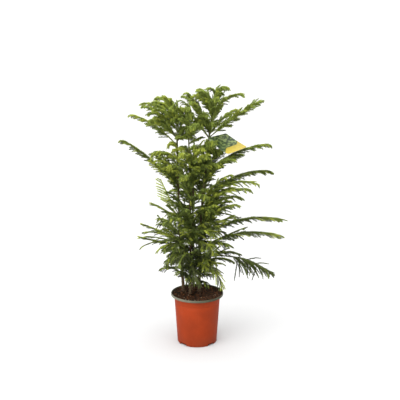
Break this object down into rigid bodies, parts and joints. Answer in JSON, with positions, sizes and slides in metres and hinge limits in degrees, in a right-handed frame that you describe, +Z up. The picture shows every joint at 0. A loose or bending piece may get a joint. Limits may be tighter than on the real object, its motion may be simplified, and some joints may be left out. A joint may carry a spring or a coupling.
{
  "type": "potted norfolk island pine",
  "caption": "Potted Norfolk Island pine: slim stems with tiers of arching, needle-clad boughs in a round terracotta-coloured nursery pot, with a plain care tag.",
  "frame": {"origin": "centre of the pot's flat underside", "axes": "+Z up along the stems, +X to the right seen from the front, the front faces -Y"},
  "size_m": [0.5969, 0.4048, 0.9277],
  "materials": {
    "pot": "satin",
    "soil": "matte",
    "bark": "matte",
    "tag": "satin",
    "needles": "satin"
  },
  "bodies": {
    "root": {"pot": "pot", "soil": "soil", "stem_right": "bark", "stem_left": "bark", "stem_middle": "bark", "stem_back": "bark", "tag": "tag", "bough_right_18": "bark", "bough_right_20": "bark", "bough_right_21": "bark", "bough_left_7": "bark", "foliage_right_1": "needles", "foliage_right_2": "needles", "foliage_right_3": "needles", "foliage_right_4": "needles", "foliage_right_5": "needles", "foliage_right_6": "needles", "foliage_right_7": "needles", "foliage_right_8": "needles", "foliage_right_9": "needles", "foliage_right_10": "needles", "foliage_right_11": "needles", "foliage_right_12": "needles", "foliage_right_13": "needles", "foliage_right_14": "needles", "foliage_right_15": "needles", "foliage_right_16": "needles", "foliage_right_17": "needles", "foliage_right_18": "needles", "foliage_right_19": "needles", "foliage_right_20": "needles", "foliage_right_21": "needles", "foliage_right_22": "needles", "foliage_left_1": "needles", "foliage_left_2": "needles", "foliage_left_3": "needles", "foliage_left_4": "needles", "foliage_left_5": "needles", "foliage_left_6": "needles", "foliage_left_7": "needles", "foliage_left_8": "needles", "foliage_left_9": "needles", "foliage_left_10": "needles", "foliage_left_11": "needles", "foliage_left_12": "needles", "foliage_left_13": "needles", "foliage_left_14": "needles", "foliage_middle_1": "needles", "foliage_middle_2": "needles", "foliage_middle_3": "needles", "foliage_middle_4": "needles", "foliage_middle_5": "needles", "foliage_middle_6": "needles", "foliage_middle_7": "needles", "foliage_middle_8": "needles", "foliage_middle_9": "needles", "foliage_middle_10": "needles", "foliage_back_1": "needles", "foliage_back_2": "needles", "foliage_back_3": "needles"}
  },
  "joints": []
}
